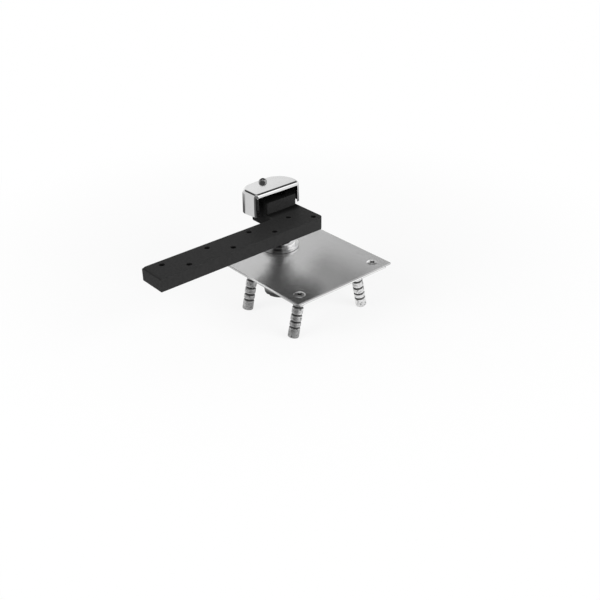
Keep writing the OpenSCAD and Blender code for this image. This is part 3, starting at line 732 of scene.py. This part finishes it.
def anchor_leg(node):
    """Formed leg: soft round grooves, a broken foot and a slightly barrelled body."""
    low, high = span(node)
    plate = span("base_plate")
    middle = (plate[0] + plate[1]) / 2
    outward = 1 if low.x + high.x > 2 * middle.x else -1
    centre_y = (low.y + high.y) / 2
    top = plate[0].z
    lean = math.radians(ANCHOR_LEAN)
    reach = ANCHOR_LEN * math.sin(lean) + ANCHOR_R * math.cos(lean)
    centre_x = (high.x - reach) if outward > 0 else (low.x + reach)
    levels = [ANCHOR_FOOT + i * GROOVE_PITCH + i * (i - 1) / 2 * GROOVE_STEP for i in range(GROOVES)]
    bm = bmesh.new()
    edge_mark = bm.verts.layers.float.new("edge")
    groove_mark = bm.verts.layers.float.new("groove")
    length = ANCHOR_LEN + ANCHOR_R
    rings = [[bm.verts.new((0, 0, 0))] * STEPS]
    for k in range(ROWS + 1):
        z = length * (k / ROWS)
        low_share = max((math.exp(-((z - g) / (0.42 * GROOVE_W)) ** 4) for g in levels), default=0)
        lip = max((math.exp(-((abs(z - g) - 0.75 * GROOVE_W) / 0.45) ** 2) for g in levels), default=0)
        r = ANCHOR_R - GROOVE_DEPTH * low_share
        if z < FOOT_R:
            r = ANCHOR_R - FOOT_R + math.sqrt(max(0.0, FOOT_R ** 2 - (FOOT_R - z) ** 2))
        ring = []
        for i in range(STEPS):
            a = 2 * math.pi * i / STEPS
            spot = Vector((math.cos(a) * 0.8, math.sin(a) * 0.8, z * 0.16 + outward * 9))
            wobble = WOBBLE * noise.noise(spot)
            rr = r + min(0.0, wobble) - 0.03
            v = bm.verts.new((rr * math.cos(a), rr * math.sin(a), z))
            v[edge_mark] = lip
            v[groove_mark] = low_share
            ring.append(v)
        rings.append(ring)
    for lower, upper in zip(rings, rings[1:]):
        for i in range(STEPS):
            j = (i + 1) % STEPS
            corners = []
            for v in (lower[i], lower[j], upper[j], upper[i]):
                if v not in corners:
                    corners.append(v)
            if len(corners) > 2:
                bm.faces.new(corners)
    bm.faces.new(rings[-1])
    place = (Matrix.Translation((centre_x, centre_y, top)) @ Matrix.Rotation(-outward * lean, 4, "Y")
             @ Matrix.Translation((0, 0, -ANCHOR_LEN)))
    bmesh.ops.transform(bm, matrix=place, verts=bm.verts)
    cut = bmesh.ops.bisect_plane(bm, geom=bm.verts[:] + bm.edges[:] + bm.faces[:], plane_co=(0, 0, top),
                                 plane_no=(0, 0, 1), clear_outer=True)
    rim = [e for e in cut["geom_cut"] if isinstance(e, bmesh.types.BMEdge)]
    bmesh.ops.edgeloop_fill(bm, edges=rim)
    bmesh.ops.transform(bm, matrix=Matrix.Scale(MM, 4), verts=bm.verts)
    name = node.replace("anchor", "leg")
    piece(name, bm, "base", "anchors", [node], smooth=60)


for corner in CORNERS:
    anchor_leg("anchor_" + corner)


# ---------------------------------------------------------------- turned pieces

for name, node, body, finish, slot, width in (
        ("housing_body", "bearing_housing", "base", "housing", "housing", 0.35),
        ("ring_body", "cover_ring", "base", "cover_ring", "cover_ring", 0.3),
        ("plug_body", "end_plug", "base", "housing", "end_plug", 0.3)):
    even_shading(piece(name, softened(node, width), body, finish, [node]))


THREAD_PITCH = 2.0
THREAD_DEPTH = 1.0
THREAD_R = 8.0
THREAD_ROW = 0.2
JOURNAL_R = 9.5
SNAP_GROOVE_R = 8.7
TAIL_R = 5.0
STEM_R = 7.0
CHAMFER = 0.8


def spindle_body():
    """The spindle with a cut thread between the journal and the arm."""
    low, high = span("spindle")
    thread_top = span("arm")[0].z
    thread_low = span("jam_nut")[0].z - 3
    snap = span("snap_ring")
    race = span("upper_race")[1].z
    outline = [(0.0, low.z), (TAIL_R - CHAMFER, low.z), (TAIL_R, low.z + CHAMFER), (TAIL_R, race),
               (JOURNAL_R, race), (JOURNAL_R, snap[0].z), (SNAP_GROOVE_R, snap[0].z),
               (SNAP_GROOVE_R, snap[1].z), (JOURNAL_R, snap[1].z), (JOURNAL_R, thread_low - CHAMFER),
               (JOURNAL_R - CHAMFER, thread_low), (THREAD_R, thread_low)]
    steps = 96
    bm = turned(outline, 0.2, steps)
    edge_mark = bm.verts.layers.float["edge"]
    rows = []
    count = int((thread_top - thread_low) / THREAD_ROW)
    for k in range(count + 1):
        z = thread_low + (thread_top - thread_low) * k / count
        ends = min(1.0, (z - thread_low) / THREAD_PITCH, (thread_top - z) / THREAD_PITCH)
        ring = []
        for i in range(steps):
            turn = (z / THREAD_PITCH - i / steps) % 1.0
            tooth = 1 - abs(2 * turn - 1)
            r = THREAD_R - THREAD_DEPTH * max(0.0, min(1.0, 1.25 * tooth - 0.12)) * max(0.0, ends)
            a = 2 * math.pi * i / steps
            v = bm.verts.new((r * MM * math.cos(a), r * MM * math.sin(a), z * MM))
            v[edge_mark] = 1.0 if tooth < 0.2 else 0.0
            ring.append(v)
        rows.append(ring)
    for lower, upper in zip(rows, rows[1:]):
        for i in range(steps):
            j = (i + 1) % steps
            bm.faces.new((lower[i], lower[j], upper[j], upper[i]))
    stem = turned([(THREAD_R, thread_top), (STEM_R, thread_top), (STEM_R, high.z - CHAMFER),
                   (STEM_R - CHAMFER, high.z), (0.0, high.z)], 0.2, steps)
    copy = bpy.data.meshes.new("stem_top")
    stem.to_mesh(copy)
    stem.free()
    bm.from_mesh(copy)
    bpy.data.meshes.remove(copy)
    bmesh.ops.remove_doubles(bm, verts=bm.verts, dist=0.002 * MM)
    even_shading(piece("spindle_body", bm, "door_arm", "spindle", ["spindle"]))


spindle_body()


# ---------------------------------------------------------------- finishes of the solids that stay

KEPT = {
    "dust_seal": "seal", "upper_bush": "bushes", "lower_bush": "bushes", "lower_race": "races",
    "upper_race": "races", "ball_cage": "bushes", "balls": "balls", "snap_ring": "small_steel",
    "set_screw": "small_steel", "cap_post": "nuts",
}
for node, finish in KEPT.items():
    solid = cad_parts[node]
    solid.data.materials.clear()
    solid.data.materials.append(FINISH[finish])
    solid.data.shade_smooth()
    solid.data.set_sharp_from_angle(angle=math.radians(35))


# ---------------------------------------------------------------- studio

AIR_LEVEL = 0.30
BACK_DIM, BACK_BRIGHT = 0.52, 1.28
BOX_LEVEL, BOX_FOOT_LEVEL = 1.9, 1.1
LEFT_LEVEL = 0.86
FRONT_LEVEL = 0.18
BAND_LEVEL = 0.06
CEILING_LEVEL = 0.62
FLOOR_NEAR, FLOOR_DARK = 0.50, 0.12
CARD_LEVEL = 1.45
FLOOR_GLOW = 0.85
HEADING = 50.5
# headings and half widths in degrees, and a last softness where it isn't the usual one
BACK_WAY = (92.0, 43.0, 13.0)
FRONT_WAY = (54.0, 50.0)
LEFT_WAY = (122.0, 24.0)
BOX_WAY = (-27.0, 36.0, 3.0)
DIP_WAY = (97.0, 20.0)
BAND_WAY = (48.0, 84.0)
# rises, as the upward share of a direction
BACK_FADE, BOX_RISE, BAND_RISE, CEILING_RISE = (0.38, 0.60), (0.36, 0.56), (0.545, 0.625), (0.86, 0.93)
# distances on the floor in metres
NEAR_FLOOR, FAR_FLOOR, GLOW_REACH = (0.11, 0.16), (0.25, 0.36), (0.16, 0.5)


def facing(s, flat, heading, half_width, soft=7.0):
    """1 where the level direction points within half_width degrees of the heading."""
    a = math.radians(heading)
    along = s.node("ShaderNodeVectorMath", {"operation": "DOT_PRODUCT"},
                   {0: flat, 1: (math.cos(a), math.sin(a), 0.0)}, out=1)
    return s.between(along, math.cos(math.radians(half_width + soft)),
                     math.cos(math.radians(half_width - soft)))


def mirrored(s, direction):
    """What metal sees: a white box at the right front, a paler back, a dark band overhead."""
    parts = s.tree.nodes.new("ShaderNodeSeparateXYZ")
    s.tree.links.new(direction.socket, parts.inputs[0])
    rise = Wire(s, parts.outputs[2])
    flat = s.node("ShaderNodeVectorMath", {"operation": "NORMALIZE"},
                  {0: s.stretched(direction, (1.0, 1.0, 0.0))})
    back = s.blend(facing(s, flat, *BACK_WAY), grey(BACK_DIM), grey(BACK_BRIGHT))
    back = s.blend(s.between(rise, *BACK_FADE), back, grey(0.5))
    walls = s.blend(facing(s, flat, *FRONT_WAY), grey(FRONT_LEVEL), back)
    walls = s.blend(facing(s, flat, *LEFT_WAY), walls, grey(LEFT_LEVEL))
    box = s.blend(s.between(rise, *BOX_RISE), grey(BOX_FOOT_LEVEL), grey(BOX_LEVEL))
    walls = s.blend(facing(s, flat, *BOX_WAY), walls, box)
    lowered = rise + 0.12 * facing(s, flat, *DIP_WAY)
    overhead = s.between(lowered, *BAND_RISE) * facing(s, flat, *BAND_WAY)
    walls = s.blend(overhead, walls, grey(BAND_LEVEL))
    return s.blend(s.between(rise, *CEILING_RISE), walls, grey(CEILING_LEVEL))


def cards(s, place):
    """What metal sees of the floor: two white cards, to the right and left of the part."""
    a = math.radians(HEADING)
    near = s.node("ShaderNodeVectorMath", {"operation": "DOT_PRODUCT"},
                  {0: place, 1: (-math.cos(a), -math.sin(a), 0.0)}, out=1)
    right = s.node("ShaderNodeVectorMath", {"operation": "DOT_PRODUCT"},
                   {0: place, 1: (math.sin(a), -math.cos(a), 0.0)}, out=1)
    right_card = s.between(right, 0.02, 0.07) * s.between(near, -0.015, 0.02)
    left_card = ((1.0 - s.between(right, -0.06, -0.03)) * s.between(near, -0.09, -0.05)
                 * (1.0 - s.between(near - 0.6 * right, 0.16, 0.20)))
    length = s.node("ShaderNodeVectorMath", {"operation": "LENGTH"}, {0: place}, out=1)
    seen = s.blend(s.between(length, *NEAR_FLOOR), grey(FLOOR_NEAR), grey(FLOOR_DARK))
    seen = s.blend(left_card, seen, grey(LEFT_LEVEL))
    seen = s.blend(right_card, seen, grey(CARD_LEVEL))
    return s.blend(s.between(length, *FAR_FLOOR), seen, mirrored(s, place))


def ray_kinds(s):
    path = s.tree.nodes.new("ShaderNodeLightPath")
    return Wire(s, path.outputs["Is Camera Ray"]), Wire(s, path.outputs["Is Glossy Ray"])


def floor():
    """Pale floor under the anchors' feet; it shows white to the camera and keeps a soft shadow."""
    bm = bmesh.new()
    bmesh.ops.create_grid(bm, x_segments=1, y_segments=1, size=4.0,
                          matrix=Matrix.Translation((0, 0, cad_low.z - 0.05 * MM)))
    mesh = bpy.data.meshes.new("floor")
    bm.to_mesh(mesh)
    bm.free()
    obj = bpy.data.objects.new("floor", mesh)
    scene.collection.objects.link(obj)
    material = bpy.data.materials.new("floor_paper")
    material.use_nodes = True
    s = Sheet(material.node_tree)
    place = s.node("ShaderNodeTexCoord", out="Object")
    fine = s.grain(place, 300.0, 3.0)
    paper = s.node("ShaderNodeBsdfDiffuse", {}, {"Color": s.blend(fine, grey(0.84), grey(0.88))})
    camera, glossy = ray_kinds(s)
    away = s.node("ShaderNodeVectorMath", {"operation": "LENGTH"}, {0: place}, out=1)
    seen = s.blend(glossy, grey(1.0), cards(s, place))
    glow = s.node("ShaderNodeEmission", {}, {"Color": seen, "Strength": 1.0})
    share = camera * (FLOOR_GLOW + (1 - FLOOR_GLOW) * s.between(away, *GLOW_REACH)) + glossy
    both = s.node("ShaderNodeMixShader", {}, {0: share, 1: paper, 2: glow})
    s.node("ShaderNodeOutputMaterial", {}, {"Surface": both})
    mesh.materials.append(material)


def studio_air():
    """White to the camera, soft light for the solids, and the mirrored studio for metal."""
    world = bpy.data.worlds.new("studio")
    scene.world = world
    world.use_nodes = True
    s = Sheet(world.node_tree)
    camera, glossy = ray_kinds(s)
    direction = s.node("ShaderNodeTexCoord", out="Generated")
    colour = s.blend(camera, s.blend(glossy, grey(AIR_LEVEL), mirrored(s, direction)), grey(1.0))
    glow = s.node("ShaderNodeBackground", {}, {"Color": colour, "Strength": 1.0})
    s.node("ShaderNodeOutputWorld", {}, {"Surface": glow})


def softbox(name, place, aim, size, power):
    data = bpy.data.lights.new(name, "AREA")
    data.shape = "RECTANGLE"
    data.size, data.size_y = size
    data.energy = power
    obj = bpy.data.objects.new(name, data)
    scene.collection.objects.link(obj)
    obj.location = place
    obj.rotation_euler = (Vector(aim) - Vector(place)).to_track_quat("-Z", "Y").to_euler()
    obj.visible_glossy = False


CAMERA_PLACE = Vector((-0.51131, -0.62417, 0.40697))
CAMERA_HEADING = math.radians(50.47)
CAMERA_DIP = math.radians(30.51)
CAMERA_ROLL = math.radians(-1.24)
CAMERA_LENS = 52.90
CAMERA_SHIFT = (0.0277, 0.0046)


def camera():
    data = bpy.data.cameras.new("camera")
    data.sensor_width = 36.0
    data.lens = CAMERA_LENS
    data.shift_x, data.shift_y = CAMERA_SHIFT
    data.clip_start, data.clip_end = 0.01, 20.0
    obj = bpy.data.objects.new("camera", data)
    scene.collection.objects.link(obj)
    ahead = Vector((math.cos(CAMERA_DIP) * math.cos(CAMERA_HEADING),
                    math.cos(CAMERA_DIP) * math.sin(CAMERA_HEADING), -math.sin(CAMERA_DIP)))
    level = Vector((math.sin(CAMERA_HEADING), -math.cos(CAMERA_HEADING), 0))
    above = level.cross(ahead)
    right = math.cos(CAMERA_ROLL) * level + math.sin(CAMERA_ROLL) * above
    up = math.cos(CAMERA_ROLL) * above - math.sin(CAMERA_ROLL) * level
    turn = Matrix((right, up, -ahead)).transposed().to_4x4()
    obj.matrix_world = Matrix.Translation(CAMERA_PLACE) @ turn
    scene.camera = obj


floor()
studio_air()
LAMP_AIM = (0, -0.02, 0.02)
softbox("left_box", (-1.1, 0.1, 0.55), LAMP_AIM, (0.9, 0.9), 13.0)
softbox("right_box", (0.25, -1.15, 0.5), LAMP_AIM, (0.9, 0.9), 14.0)
softbox("top_box", (0.1, 0.1, 1.3), (0, -0.02, 0), (0.8, 0.8), 0.6)
camera()
scene.view_settings.view_transform = "Standard"
